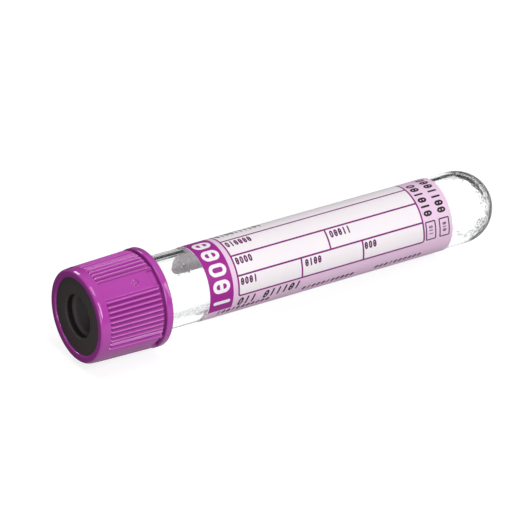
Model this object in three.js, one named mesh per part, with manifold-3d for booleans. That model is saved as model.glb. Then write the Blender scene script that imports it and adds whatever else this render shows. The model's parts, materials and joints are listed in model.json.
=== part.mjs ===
// An evacuated blood collection tube with a twist-off safety closure, lying on its side.
// Millimetres, +Z up, origin at the middle of the bounding box's underside.
//
// Every piece is round about one long axis. The pieces are drawn with that axis along local Y:
// height 0 is the tip of the tube's round bottom, and the closure is at the top. At the end the
// whole group is laid down with the closure towards -X, resting on the closure's collar and on
// the start of the round bottom.

import * as THREE from 'three';
import { mergeVertices } from 'three/addons/utils/BufferGeometryUtils.js';
import Module from 'manifold-3d';

const wasm = await Module();
wasm.setup();

const degrees = THREE.MathUtils.degToRad;

// ---------------------------------------------------------------- driving dimensions

const FACETS = 24; // flat sides of every round surface. Its radius is measured to their middles
const FIT_GAP = 0.05; // between faces that are clamped or stuck together
const RUNNING_GAP = 0.1; // radial, between the stopper and the tube
const FLANK_GAP = 0.3; // between a thread web and the rib that climbs it

const tube = {
  length: 75,
  mouthRadius: 6.25,
  endRadius: 6.15,
  wall: 0.85,
  bottomWall: 1.1,
  lipRound: 0.2,
};

const thread = {
  starts: 4,
  lead: 20, // climb in one whole turn
  span: degrees(64), // each web's length around the neck
  thickness: 1.2, // measured along the tube
  webHeight: 0.45,
  ribHeight: 0.5,
  root: 0.25, // how far webs and ribs run into their own wall
  aboveSkirtEnd: 3, // from the skirt's open end to the middle of a web
};

const cap = {
  skirtLength: 13.3, // from the retaining ring's top face to the open end
  lipRise: 0.3, // of the rim above the retaining ring
  lipBore: 6.55,
  rimFlat: 7.45, // outer radius of the rim's flat end
  topRadius: 8,
  baseRadius: 8.28,
  shoulder: 0.35, // where the rim's rounding meets the side
  chamberWall: 0.6, // round the ring and the stopper's flange, behind the grooves
  ledgeThickness: 1.2,
  boreClearance: 0.25, // between the thread webs and the skirt
  mouthChamfer: 0.35,
};

const collar = {
  radius: 8.4,
  width: 1.3,
  edgeRound: 0.35,
  grooveWidth: 0.25, // the narrow channel between the collar and the grip
  grooveDepth: 0.25,
};

const grip = {
  groups: 4,
  groovesPerGroup: 10,
  panelAngle: degrees(28.5), // the plain panel between two groups of grooves
  panelCentre: degrees(-36.7), // of the first panel, from straight up
  start: 1.42, // from the retaining ring's top face
  depth: 0.4,
  mouthWidth: 0.6,
  floorWidth: 0.3,
};

const ring = {
  thickness: 1.2,
  bore: 3.7,
  edge: 0.12,
};

const stopper = {
  flangeThickness: 2.75,
  flangeGap: 0.2, // between the flange's rim and the chamber
  plugDepth: 7.3, // below the tube's mouth
  plugTaper: 0.08,
  plugChamfer: 0.4,
  wellRadius: 3.15,
  wellDepth: 3.6,
  wellChamfer: 0.55,
  wellRound: 0.5,
  recessRadius: 3.3,
  recessDepth: 4.4,
  recessRound: 1,
  mouthGap: 0.25, // from the tube's mouth to the cap's ledge
};

const label = {
  length: 48,
  fromBottom: 11, // from the tip of the round bottom to the label's lower end
  thickness: 0.1,
  wrapFacets: 18, // facets of the tube that the label covers
  firstFacet: -12, // facet corners from straight up to the label's lower front edge
};

// ---------------------------------------------------------------- derived dimensions

const facetAngle = (2 * Math.PI) / FACETS;
const cornerShare = 1 / Math.cos(facetAngle / 2); // from the axis to a facet corner, per unit of radius

const ledgeTop = tube.length + stopper.mouthGap + cap.ledgeThickness;
const flangeBottom = ledgeTop + FIT_GAP;
const flangeTop = flangeBottom + stopper.flangeThickness;
const ringBottom = flangeTop + FIT_GAP;
const ringTop = ringBottom + ring.thickness;
const rimTop = ringTop + cap.lipRise;
const skirtEnd = ringTop - cap.skirtLength;

const chamberRadius = cap.topRadius - grip.depth - cap.chamberWall - FIT_GAP * 2;
const boreAtMouth = tube.mouthRadius - tube.wall;
const skirtBore = tube.mouthRadius + thread.webHeight + cap.boreClearance;
const plugRadius = boreAtMouth - RUNNING_GAP;
const webHeightOnTube = skirtEnd + thread.aboveSkirtEnd;
const ribHeightOnTube = webHeightOnTube + thread.thickness + FLANK_GAP;

// Outer radius of the tube's slightly tapered wall.
function tubeRadius(height) {
  const along = (height - tube.endRadius) / (tube.length - tube.endRadius);
  return THREE.MathUtils.lerp(tube.endRadius, tube.mouthRadius, along);
}

// ---------------------------------------------------------------- shared builders

const at = (radius, height) => new THREE.Vector2(radius, height);

// Points along a round stretch of a profile, both ends included.
function arc(centre, radius, from, to, steps) {
  const points = [];
  for (let i = 0; i <= steps; i += 1) {
    const angle = THREE.MathUtils.lerp(from, to, i / steps);
    points.push(at(centre.x + radius * Math.cos(angle), centre.y + radius * Math.sin(angle)));
  }
  return points;
}

// A closed geometry as a solid that can be joined and cut.
function solidOf(geometry) {
  const bare = geometry.clone();
  bare.deleteAttribute('normal');
  bare.deleteAttribute('uv');
  const merged = mergeVertices(bare, 1e-5);
  const corners = merged.index.array;
  const triangles = [];
  for (let i = 0; i < corners.length; i += 3) {
    const [a, b, c] = corners.slice(i, i + 3);
    if (a !== b && b !== c && c !== a) triangles.push(a, b, c);
  }
  return new wasm.Manifold(new wasm.Mesh({
    numProp: 3,
    vertProperties: new Float32Array(merged.attributes.position.array),
    triVerts: new Uint32Array(triangles),
  }));
}

function geometryOf(solid) {
  const mesh = solid.getMesh();
  const geometry = new THREE.BufferGeometry();
  geometry.setAttribute('position', new THREE.BufferAttribute(mesh.vertProperties, 3));
  geometry.setIndex(new THREE.BufferAttribute(mesh.triVerts, 1));
  geometry.computeVertexNormals();
  return geometry;
}

// A profile turned about the axis. It runs up its outer side, and starts and ends on the axis
// or is closed here. The lowest facet of the laid-down part is level, half a facet from a corner.
function turned(profile) {
  const onAxis = profile[0].x === 0;
  const outline = onAxis ? profile : [...profile, profile[0]];
  const corners = outline.map((point) => at(point.x * cornerShare, point.y));
  return solidOf(new THREE.LatheGeometry(corners, FACETS, facetAngle / 2));
}

// A block bent round the axis along the thread: x is the way round, y along the axis, z outward.
function helicalBar(innerRadius, outerRadius, middleHeight, middleAngle) {
  const depth = outerRadius - innerRadius;
  const steps = Math.ceil((2 * thread.span) / facetAngle);
  const bar = new THREE.BoxGeometry(thread.span, thread.thickness, depth, steps, 1, 1);
  const position = bar.attributes.position;
  for (let i = 0; i < position.count; i += 1) {
    const turn = position.getX(i);
    const radius = innerRadius + depth / 2 + position.getZ(i);
    const height = middleHeight + position.getY(i) + (thread.lead * turn) / (2 * Math.PI);
    const angle = middleAngle + turn;
    position.setXYZ(i, radius * Math.sin(angle), height, radius * Math.cos(angle));
  }
  return solidOf(bar);
}

// Joins one helical bar for each start of the thread onto a turned piece.
function withThread(body, innerRadius, outerRadius, middleHeight) {
  let joined = body;
  for (let start = 0; start < thread.starts; start += 1) {
    const angle = (start * 2 * Math.PI) / thread.starts;
    joined = joined.add(helicalBar(innerRadius, outerRadius, middleHeight, angle));
  }
  return joined;
}

function piece(name, geometry, colour, roughness, extra = {}) {
  const material = new THREE.MeshStandardMaterial({ color: colour, roughness, metalness: 0, ...extra });
  const mesh = new THREE.Mesh(geometry, material);
  mesh.name = name;
  return mesh;
}

// ---------------------------------------------------------------- the tube

function tubeGeometry() {
  const innerEndRadius = tube.endRadius - tube.wall;
  const outerCentre = at(0, tube.endRadius);
  const innerCentre = at(0, tube.bottomWall + innerEndRadius);
  const outerBowl = arc(outerCentre, tube.endRadius, -Math.PI / 2, 0, 12);
  const innerBowl = arc(innerCentre, innerEndRadius, 0, -Math.PI / 2, 12);
  outerBowl[0].x = 0;
  innerBowl[12].x = 0;
  const body = turned([
    ...outerBowl,
    at(tube.mouthRadius, tube.length - tube.lipRound),
    at(tube.mouthRadius - tube.lipRound, tube.length),
    at(boreAtMouth + tube.lipRound, tube.length),
    at(boreAtMouth, tube.length - tube.lipRound),
    ...innerBowl,
  ]);
  const neck = tubeRadius(webHeightOnTube);
  return geometryOf(withThread(body, neck - thread.root, neck + thread.webHeight, webHeightOnTube));
}

// ---------------------------------------------------------------- the closure

// One grip groove's cutter: a narrow trapezium that follows the taper of the cap's side.
function grooveCutter(angle) {
  const top = ringTop - grip.start;
  const bottom = skirtEnd + collar.width + collar.grooveWidth / 2;
  const draft = Math.atan((cap.baseRadius - cap.topRadius) / (cap.skirtLength - collar.width));
  const overshoot = 0.5;
  const slope = (grip.mouthWidth - grip.floorWidth) / (2 * grip.depth);
  const halfTop = grip.mouthWidth / 2 + slope * overshoot;
  const shape = new THREE.Shape([
    at(-grip.floorWidth / 2, -grip.depth),
    at(grip.floorWidth / 2, -grip.depth),
    at(halfTop, overshoot),
    at(-halfTop, overshoot),
  ]);
  const cutter = new THREE.ExtrudeGeometry(shape, { depth: top - bottom, bevelEnabled: false });
  cutter.rotateX(Math.PI / 2 - draft);
  cutter.translate(0, top, sideRadius(top));
  cutter.rotateY(angle);
  return solidOf(cutter);
}

// Outer radius of the cap's side, which widens towards the collar.
function sideRadius(height) {
  const collarTop = skirtEnd + collar.width;
  return THREE.MathUtils.lerp(cap.baseRadius, cap.topRadius, (height - collarTop) / (ringTop - collarTop));
}

function capShellGeometry() {
  const collarTop = skirtEnd + collar.width;
  const grooveTop = collarTop + collar.grooveWidth;
  const grooveFloor = cap.baseRadius - collar.grooveDepth;
  const ledgeBottom = tube.length + stopper.mouthGap;
  const shoulderHeight = ringTop - cap.shoulder;
  const roundHeight = rimTop - shoulderHeight;
  const rimRound = [1, 2, 3].map((step) => {
    const angle = (step * Math.PI) / 8;
    const reach = sideRadius(shoulderHeight) - cap.rimFlat;
    return at(cap.rimFlat + reach * Math.cos(angle), shoulderHeight + roundHeight * Math.sin(angle));
  });
  let shell = turned([
    at(skirtBore + cap.mouthChamfer, skirtEnd),
    ...arc(at(collar.radius - collar.edgeRound, skirtEnd + collar.edgeRound), collar.edgeRound,
      -Math.PI / 2, 0, 3),
    at(collar.radius, collarTop),
    at(grooveFloor, collarTop),
    at(grooveFloor, grooveTop),
    at(sideRadius(grooveTop), grooveTop),
    at(sideRadius(shoulderHeight), shoulderHeight),
    ...rimRound,
    at(cap.rimFlat, rimTop),
    at(cap.lipBore, rimTop),
    at(cap.lipBore, ringTop + FIT_GAP),
    at(chamberRadius, ringTop + FIT_GAP),
    at(chamberRadius, ledgeTop),
    at(plugRadius + stopper.flangeGap, ledgeTop),
    at(plugRadius + stopper.flangeGap, ledgeBottom),
    at(skirtBore, ledgeBottom),
    at(skirtBore, skirtEnd + cap.mouthChamfer),
  ]);
  const ribInner = skirtBore - thread.ribHeight;
  shell = withThread(shell, ribInner, skirtBore + thread.root, ribHeightOnTube);
  const groupAngle = (2 * Math.PI) / grip.groups;
  const pitch = (groupAngle - grip.panelAngle) / grip.groovesPerGroup;
  for (let group = 0; group < grip.groups; group += 1) {
    const firstGroove = grip.panelCentre + group * groupAngle + grip.panelAngle / 2 + pitch / 2;
    for (let groove = 0; groove < grip.groovesPerGroup; groove += 1) {
      shell = shell.subtract(grooveCutter(firstGroove + groove * pitch));
    }
  }
  return geometryOf(shell);
}

function retainingRingGeometry() {
  const outer = chamberRadius - RUNNING_GAP;
  return geometryOf(turned([
    at(ring.bore, ringBottom),
    at(outer, ringBottom),
    at(outer, ringTop),
    at(ring.bore + ring.edge, ringTop),
    at(ring.bore, ringTop - ring.edge),
  ]));
}

// The rubber stopper: a clamped flange, a needle well above and a recess below the membrane.
function stopperGeometry() {
  const flangeRadius = chamberRadius - stopper.flangeGap;
  const plugBottom = tube.length - stopper.plugDepth;
  const plugEnd = plugRadius - stopper.plugTaper;
  const wellFloor = flangeTop - stopper.wellDepth;
  const recessTop = plugBottom + stopper.recessDepth;
  const recessCorner = at(stopper.recessRadius - stopper.recessRound, recessTop - stopper.recessRound);
  const wellCorner = at(stopper.wellRadius - stopper.wellRound, wellFloor + stopper.wellRound);
  return geometryOf(turned([
    at(0, recessTop),
    ...arc(recessCorner, stopper.recessRound, Math.PI / 2, 0, 3),
    at(stopper.recessRadius, plugBottom),
    at(plugEnd - stopper.plugChamfer, plugBottom),
    at(plugEnd, plugBottom + stopper.plugChamfer),
    at(plugRadius, tube.length),
    at(plugRadius, flangeBottom),
    at(flangeRadius, flangeBottom),
    at(flangeRadius, flangeTop),
    at(stopper.wellRadius + stopper.wellChamfer, flangeTop),
    at(stopper.wellRadius, flangeTop - stopper.wellChamfer),
    ...arc(wellCorner, stopper.wellRound, 0, -Math.PI / 2, 3),
    at(0, wellFloor),
  ]));
}

// ---------------------------------------------------------------- the label

// A film wrapped round the tube, with its edges on the tube's own facet corners. Its outline is
// drawn round a tube of unit radius, and each end then takes the tapered tube's radius there.
function labelGeometry() {
  const corner = (facet) => facetAngle / 2 + facet * facetAngle;
  const onCorner = (facet, share) => at(share * Math.sin(corner(facet)), share * Math.cos(corner(facet)));
  const reference = tubeRadius(label.fromBottom) + FIT_GAP;
  const outerShare = cornerShare * (1 + label.thickness / reference);
  const facets = Array.from({ length: label.wrapFacets + 1 }, (_, i) => label.firstFacet + i);
  const shape = new THREE.Shape([
    ...facets.map((facet) => onCorner(facet, outerShare)),
    ...facets.reverse().map((facet) => onCorner(facet, cornerShare)),
  ]);
  const film = new THREE.ExtrudeGeometry(shape, { depth: label.length, bevelEnabled: false });
  const position = film.attributes.position;
  for (let i = 0; i < position.count; i += 1) {
    const height = label.fromBottom + label.length - position.getZ(i);
    const radius = tubeRadius(height) + FIT_GAP;
    position.setXYZ(i, position.getX(i) * radius, height, position.getY(i) * radius);
  }
  return geometryOf(solidOf(film));
}

// ---------------------------------------------------------------- assembly

// The floor touches the outline in two places: the collar's edge and the start of the round end.
function layDown(group) {
  const collarEdge = at(collar.radius, skirtEnd + collar.edgeRound);
  const endEdge = at(tube.endRadius, tube.endRadius);
  const tilt = Math.atan((collarEdge.x - endEdge.x) / (collarEdge.y - endEdge.y));
  group.rotation.set(0, tilt, Math.PI / 2, 'YXZ');
  group.updateMatrixWorld(true);
  const box = new THREE.Box3().setFromObject(group, true);
  const middle = box.getCenter(new THREE.Vector3());
  group.position.set(-middle.x, -middle.y, -box.min.z);
  group.updateMatrixWorld(true);
}

const bloodTube = new THREE.Group();
bloodTube.add(
  piece('tube', tubeGeometry(), 0xeef2f4, 0.08, { transparent: true, opacity: 0.35 }),
  piece('label', labelGeometry(), 0xe9d3e6, 0.5),
  piece('stopper', stopperGeometry(), 0x2e2c2d, 0.75),
  piece('cap_shell', capShellGeometry(), 0xa63f98, 0.3),
  piece('retaining_ring', retainingRingGeometry(), 0x2a2728, 0.55),
);
layDown(bloodTube);

export default bloodTube;
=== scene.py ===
"""The looks of a blood collection tube lying on its side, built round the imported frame.

Metres, +Z up. Every piece is round about the tube's long axis, so the surfaces are worked out in
tube measures: millimetres off the axis, a turn about it in degrees (0 is straight up, positive
towards the back) and millimetres along it (0 is the black ring's face, positive towards the round
tip). place() turns tube measures into the frame.
"""

import json
import math

import bpy
import numpy as np
from mathutils import Matrix, Vector


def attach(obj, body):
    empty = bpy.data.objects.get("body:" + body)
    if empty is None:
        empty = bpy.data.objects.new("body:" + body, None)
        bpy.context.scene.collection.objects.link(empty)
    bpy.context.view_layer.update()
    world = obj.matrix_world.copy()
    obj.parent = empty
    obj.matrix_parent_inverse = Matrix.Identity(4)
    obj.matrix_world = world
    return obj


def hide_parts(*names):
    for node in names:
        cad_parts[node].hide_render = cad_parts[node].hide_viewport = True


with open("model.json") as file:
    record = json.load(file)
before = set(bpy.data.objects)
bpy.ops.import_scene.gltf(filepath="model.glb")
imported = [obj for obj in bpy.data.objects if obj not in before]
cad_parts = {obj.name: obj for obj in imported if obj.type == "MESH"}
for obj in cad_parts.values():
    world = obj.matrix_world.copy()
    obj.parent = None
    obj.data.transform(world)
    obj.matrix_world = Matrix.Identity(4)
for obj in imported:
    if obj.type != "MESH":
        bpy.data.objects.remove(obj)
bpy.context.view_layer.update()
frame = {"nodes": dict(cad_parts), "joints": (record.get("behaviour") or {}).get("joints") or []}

# ---- the tube's axis and measures

MM = 0.001
CAD_FACETS = 24  # flat sides of the frame's round pieces
FLAT_SHARE = math.cos(math.pi / CAD_FACETS)  # from the axis to a flat, for a corner at 1
INSET = 0.012  # of the finished surfaces inside the frame's, mm

twist = next(joint for joint in frame["joints"] if joint["name"] == "cap_twist")
ring_face = np.array(twist["pos_m"], float)
tipward = -np.array(twist["axis"], float)
tipward /= np.linalg.norm(tipward)
backward = np.array((0.0, 1.0, 0.0))
upward = np.cross(tipward, backward)


def reach(node):
    """Where a CAD node starts and ends along the axis, and its widest flats' distance from it."""
    mesh = frame["nodes"][node].data
    points = np.empty(len(mesh.vertices) * 3)
    mesh.vertices.foreach_get("co", points)
    offset = (points.reshape(-1, 3) - ring_face) / MM
    along = offset @ tipward
    off_axis = np.linalg.norm(offset - along[:, None] * tipward, axis=1)
    return along.min() + INSET, along.max() - INSET, off_axis.max() * FLAT_SHARE - INSET


rim_face, skirt_end, collar_radius = reach("cap_shell")
_, ring_back, ring_radius = reach("retaining_ring")
flange_top, plug_end, flange_radius = reach("stopper")
tube_mouth, tube_tip, _ = reach("tube")
label_start, label_end, _ = reach("label")


def place(radius, turn, along):
    """Tube measures as points of the frame: the axis point, plus the radius turned from straight up."""
    radius, turn, along = np.broadcast_arrays(radius, np.radians(turn), along)
    return MM * (
        along[..., None] * tipward
        + (radius * np.cos(turn))[..., None] * upward
        + (radius * np.sin(turn))[..., None] * backward
    ) + ring_face


# ---- meshes from grids


def smoothstep(value):
    """0 below 0, 1 above 1, and a soft S between."""
    value = np.clip(value, 0, 1)
    return value * value * (3 - 2 * value)


def signed_volume(points, faces):
    """The volume inside closed faces, negative if they point inwards: a sum of corner tetrahedra."""
    total = 0.0
    for group in faces:
        first = points[group[:, 0]]
        for side in range(1, group.shape[1] - 1):
            cross = np.cross(points[group[:, side]], points[group[:, side + 1]])
            total += np.einsum("ij,ij", first, cross) / 6
    return total


def make_piece(name, points, faces, material, body, replaced=None, crease=35):
    """A closed mesh from points and arrays of faces, turned outwards, that rides on a body."""
    if signed_volume(points - points.mean(0), faces) < 0:
        faces = [group[:, ::-1] for group in faces]
    corners = np.concatenate([group.ravel() for group in faces])
    sizes = np.concatenate([np.full(len(group), group.shape[1]) for group in faces])
    mesh = bpy.data.meshes.new(name)
    mesh.vertices.add(len(points))
    mesh.vertices.foreach_set("co", points.astype(np.float32).ravel())
    mesh.loops.add(len(corners))
    mesh.loops.foreach_set("vertex_index", corners.astype(np.int32))
    mesh.polygons.add(len(sizes))
    mesh.polygons.foreach_set("loop_start", (np.cumsum(sizes) - sizes).astype(np.int32))
    mesh.update(calc_edges=True)
    mesh.shade_smooth()
    mesh.set_sharp_from_angle(angle=math.radians(crease))
    mesh.materials.append(material)
    piece = bpy.data.objects.new(name, mesh)
    bpy.context.scene.collection.objects.link(piece)
    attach(piece, body)
    if replaced:
        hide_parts(replaced)
    return piece


def grid_quads(rows, columns, wrap_rows, wrap_columns):
    """Quads between the neighbouring points of a grid, numbered row by row."""
    row = np.arange(rows if wrap_rows else rows - 1)[:, None]
    column = np.arange(columns if wrap_columns else columns - 1)[None, :]
    next_row = (row + 1) % rows
    next_column = (column + 1) % columns
    quads = np.stack(
        [
            row * columns + column,
            row * columns + next_column,
            next_row * columns + next_column,
            next_row * columns + column,
        ],
        axis=-1,
    )
    return quads.reshape(-1, 4)


def ring_surface(radius, turn, along):
    """A profile loop carried round the axis: one row for each profile point, one column a turn."""
    points = place(radius, turn, along)
    return points.reshape(-1, 3), [grid_quads(*points.shape[:2], True, True)]


def pole_fans(rows, columns, first_pole, last_pole):
    """Triangles that join a grid's first row to one pole, and its last row to another."""
    here = np.arange(columns)
    following = (here + 1) % columns
    last_row = (rows - 1) * columns
    first_fan = [np.full(columns, first_pole), following, here]
    last_fan = [np.full(columns, last_pole), last_row + here, last_row + following]
    return np.concatenate([np.stack(first_fan, axis=-1), np.stack(last_fan, axis=-1)])


def domed_surface(radius, turn, along):
    """A profile from axis to axis carried round it. Its first and last points are the poles."""
    body = place(radius[1:-1], turn, along[1:-1])
    poles = place(0, 0, np.array([along[0].mean(), along[-1].mean()]))
    rows, columns = body.shape[:2]
    count = rows * columns
    fans = pole_fans(rows, columns, count, count + 1)
    points = np.concatenate([body.reshape(-1, 3), poles])
    return points, [grid_quads(rows, columns, False, True), fans]


def even_turns(columns):
    """Turns of the columns of a round surface, as one row."""
    return np.linspace(0, 360, columns, endpoint=False)[None, :]


def stretch_rows(line, first, count):
    """Which rows of a profile belong to a stretch of it."""
    row = np.arange(len(line))
    return (row >= first) & (row < first + count)


def arc(radius, along, size, start, end, steps):
    """Profile points round a centre: an arc of a given size from one angle to another, in degrees.

    At 0 degrees a point is off the axis, and at 90 it is towards the tip.
    """
    angle = np.radians(np.linspace(start, end, steps + 1))
    return np.stack([radius + size * np.cos(angle), along + size * np.sin(angle)], axis=-1)


def profile(*stretches):
    """Single points and arcs as one list of profile points: a radius and a place along."""
    return np.concatenate([np.atleast_2d(np.array(part, float)) for part in stretches])


def straight(start, end, steps):
    """Evenly spaced profile points from one point to another, without the first."""
    share = np.linspace(0, 1, steps + 1)[1:, None]
    return np.array(start, float) * (1 - share) + np.array(end, float) * share


# ---- the thread

THREAD_STARTS = 4
THREAD_LEAD = 20.0  # climb in a whole turn, mm
THREAD_HALF_SPAN = 32.0  # of one web, degrees
THREAD_THICKNESS = 1.2
THREAD_FLANK = 0.16  # how far along the flank takes to rise
WEB_MIDDLE = 10.3  # along, on the tube's neck
WEB_HEIGHT = 0.45
RIB_MIDDLE = 8.8  # along, in the cap's skirt
RIB_HEIGHT = 0.5
THREAD_ENDS = 1.5  # degrees over which a web's two ends rise
THREAD_ZONE = 1.1  # to either side of a web's middle, where the rows are close
THREAD_ROWS = 23
LEAN_ZONE = (1.6, 0.5)  # from a web's middle to where the rows stop leaning with it, and the fade


def thread_offset(turn):
    """Turns from the middle of the nearest start."""
    sector = 360 / THREAD_STARTS
    return (turn + sector / 2) % sector - sector / 2


def thread_climb(turn):
    """How far a web's middle lies towards the cap's face, mm. It falls back between two webs."""
    offset = thread_offset(turn)
    gap = 180 / THREAD_STARTS - THREAD_HALF_SPAN
    climbing = offset * THREAD_LEAD / 360
    crest = THREAD_HALF_SPAN * THREAD_LEAD / 360
    falling = np.sign(offset) * crest * (THREAD_HALF_SPAN + gap - np.abs(offset)) / gap
    return np.where(np.abs(offset) <= THREAD_HALF_SPAN, climbing, falling)


def thread_height(turn, from_middle):
    """A web's rise, 0 to 1: full between its flanks and its two ends."""
    across = (THREAD_THICKNESS / 2 - np.abs(from_middle)) / THREAD_FLANK
    ends = (THREAD_HALF_SPAN - np.abs(thread_offset(turn))) / THREAD_ENDS
    return smoothstep(across) * smoothstep(ends)


def thread_rows(middle):
    """Close rows across the webs, from the tip's side on."""
    return middle + np.linspace(-THREAD_ZONE, THREAD_ZONE, THREAD_ROWS)[::-1]


def thread_lean(from_middle):
    """How much of a web's climb a row follows, 0 to 1."""
    return smoothstep((LEAN_ZONE[0] - np.abs(from_middle)) / LEAN_ZONE[1])


# ---- the tube

MOUTH_RADIUS = 6.25
END_RADIUS = 6.14
WALL = 0.85
BOTTOM_WALL = 1.1
LIP_ROUND = 0.3
NECK = (6.2, 14.2)  # along, where the rows beside the thread's close ones stand
TUBE_COLUMNS = 384

end_start = tube_tip - END_RADIUS
inner_end = END_RADIUS - WALL
inner_start = tube_tip - BOTTOM_WALL - inner_end
mouth_inner = MOUTH_RADIUS - WALL


def tube_outside(along):
    """Outer radius of the tube's slightly tapered wall."""
    share = (along - tube_mouth) / (end_start - tube_mouth)
    return MOUTH_RADIUS + (END_RADIUS - MOUTH_RADIUS) * share


def build_tube(material):
    """A round-bottomed tube: its wall as a profile from tip to tip, with the thread webs raised."""
    neck_start, neck_end = NECK
    web_zone = thread_rows(WEB_MIDDLE)
    neck = np.stack([tube_outside(web_zone), web_zone], axis=-1)
    round_end = arc(0, end_start, END_RADIUS, 90, 0, 44)
    side = straight((END_RADIUS, end_start), (tube_outside(neck_end), neck_end), 10)
    line = profile(
        round_end,
        side,
        neck,
        (tube_outside(neck_start), neck_start),
        arc(MOUTH_RADIUS - LIP_ROUND, tube_mouth + LIP_ROUND, LIP_ROUND, 0, -90, 6),
        arc(mouth_inner + LIP_ROUND, tube_mouth + LIP_ROUND, LIP_ROUND, 270, 180, 6),
        straight((mouth_inner, tube_mouth + 0.8), (inner_end, inner_start - 0.4), 10),
        arc(0, inner_start, inner_end, 0, 90, 40),
    )
    turn = even_turns(TUBE_COLUMNS)
    radius, along = line[:, :1] + 0 * turn, line[:, 1:] + 0 * turn
    is_neck = stretch_rows(line, len(round_end) + len(side), len(neck))[:, None]
    from_middle = line[:, 1:] - WEB_MIDDLE
    radius = radius + WEB_HEIGHT * (thread_height(turn, from_middle) * is_neck)
    along = along - thread_lean(from_middle) * is_neck * thread_climb(turn)
    points, faces = domed_surface(radius, turn, along)
    return make_piece(
        "clear_tube", points, faces, material, "tube", "tube", crease=50
    )


# ---- the cap

RIM_BORE = 6.55
RIM_EDGE = 0.3  # rounding of the rim's inner edge
RIM_FLAT = 7.58
CAP_TOP_RADIUS = 8.0
CAP_BASE_RADIUS = 8.28
SHOULDER = 0.48  # along, where the rim's rounding meets the side
COLLAR_WIDTH = 1.3
CHANNEL_WIDTH = 0.32
CHANNEL_DEPTH = 0.55
CHAMBER_RADIUS = 6.9
LEDGE_BORE = 5.5
LEDGE_TOP = 4.05
LEDGE_BOTTOM = 5.25
SKIRT_BORE = 6.95
SKIRT_CHAMFER = 0.35

GRIP_GROUPS = 4
GROOVES = 10  # in each group
PANEL_ANGLE = 28.5
PANEL_TURN = -36.7  # the first panel's middle
PANEL_SINK = 0.09  # of a panel below the ribs beside it
PANEL_SLOPE = 2.2  # degrees over which it sinks
VALLEY = (2.3, 0.55, 0.1)  # along a panel's two edges: degrees in from the edge, half width, depth
BAND_DRAFT = 0.045  # slope of the smooth band between the rim and the ribs
GROOVE_PITCH = (360 / GRIP_GROUPS - PANEL_ANGLE) / GROOVES
GRIP_START = 1.42
GROOVE_DEPTH = 0.44
NOTCH_DEPTH = 1.0  # of a groove's depth, where a rib's rounded end meets the smooth band
NOTCH_LENGTH = 0.55
THUMB_RECESS = (10.65, 9.5, 0.42)  # at a panel's collar end: start along, half angle, depth
GATE_MARK = (7.85, 0.62, 0.22)  # on the first panel: along, radius, height


def cap_side(along):
    """Outer radius of the cap's side, which widens towards the collar, and faster before the ribs."""
    collar_start = skirt_end - COLLAR_WIDTH
    widening = (CAP_BASE_RADIUS - CAP_TOP_RADIUS) * along / collar_start
    return CAP_TOP_RADIUS + widening - BAND_DRAFT * np.clip(GRIP_START - along, 0, None)


def cap_turns():
    """Columns round the cap: evenly over each panel, and a dozen to each groove."""
    panel = np.linspace(-PANEL_ANGLE / 2, PANEL_ANGLE / 2, 80, endpoint=False)
    grooved = PANEL_ANGLE / 2 + np.arange(GROOVES * 12) * GROOVE_PITCH / 12
    quarter = np.concatenate([panel, grooved])
    return np.concatenate(
        [PANEL_TURN + group * 360 / GRIP_GROUPS + quarter for group in range(GRIP_GROUPS)]
    )


def from_panel(turn):
    """Degrees from the middle of the nearest panel."""
    quarter = 360 / GRIP_GROUPS
    return (turn - PANEL_TURN + quarter / 2) % quarter - quarter / 2


def grip_depth(turn, along):
    """How deep the grip lies below the side, in mm, and its painted light: -1 for a painted highlight
    on a rib's crest, 1 for painted shade in a hollow.

    Across the ribs it is a cosine wave, deepest in each groove's middle. Along them a rib's two ends
    round off, at the smooth band and at the channel. A panel lies a little lower than the ribs
    beside it, with a thin valley along each edge and a shallow recess at its collar end.
    """
    grip_end = skirt_end - COLLAR_WIDTH - CHANNEL_WIDTH
    offset = from_panel(turn)
    from_group = np.abs(offset) - PANEL_ANGLE / 2
    number = np.clip(np.round(from_group / GROOVE_PITCH - 0.5), 0, GROOVES - 1)
    to_groove = np.abs(from_group - (number + 0.5) * GROOVE_PITCH) / (GROOVE_PITCH / 2)
    groove = 0.5 + 0.5 * np.cos(np.pi * np.clip(to_groove, 0, 1))
    in_group = smoothstep((from_group + 0.9) / 1.2)
    start_share = np.clip((GRIP_START + NOTCH_LENGTH - along) / NOTCH_LENGTH, 0, 1)
    end_share = np.clip((along - grip_end + NOTCH_LENGTH) / NOTCH_LENGTH, 0, 1)
    rounding = 1 - np.sqrt(1 - start_share**2) + 1 - np.sqrt(1 - end_share**2)
    notch = np.clip(NOTCH_DEPTH * rounding * in_group, 0, 1)
    sunk = 1 - (1 - groove) * (1 - notch)
    depth = GROOVE_DEPTH * sunk
    panel = smoothstep((PANEL_ANGLE / 2 - 0.4 - np.abs(offset)) / PANEL_SLOPE)
    valley_inset, valley_width, valley_depth = VALLEY
    from_valley = (np.abs(offset) - PANEL_ANGLE / 2 + valley_inset) / valley_width
    valley = np.exp(-(from_valley**2))
    depth = depth + PANEL_SINK * panel + valley_depth * valley
    recess_start, recess_angle, recess_depth = THUMB_RECESS
    recess = smoothstep((along - recess_start) / 0.16 + 0.5)
    recess = recess * smoothstep((recess_angle - np.abs(offset)) / 0.9 + 0.5)
    depth = depth + recess_depth * recess
    started = smoothstep((along - GRIP_START) / 0.07)
    # Painted shade deep in each groove, along the panels' valleys and on the recess's walls; a painted
    # highlight on the ribs' crests.
    hollow = np.maximum(smoothstep((sunk - 0.48) / 0.4), 0.8 * valley)
    hollow = np.maximum(hollow, 3 * recess * (1 - recess))
    crest = smoothstep((0.3 - sunk) / 0.3) * in_group
    return depth * started, (hollow - crest) * started


def gate_height(turn, along):
    """The round gate mark on the first panel: a low dome."""
    middle, size, height = GATE_MARK
    around = (turn - PANEL_TURN + 180) % 360 - 180
    distance = np.hypot(np.radians(around) * CAP_TOP_RADIUS, along - middle)
    return height * smoothstep((size - distance) / size * 2)


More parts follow.
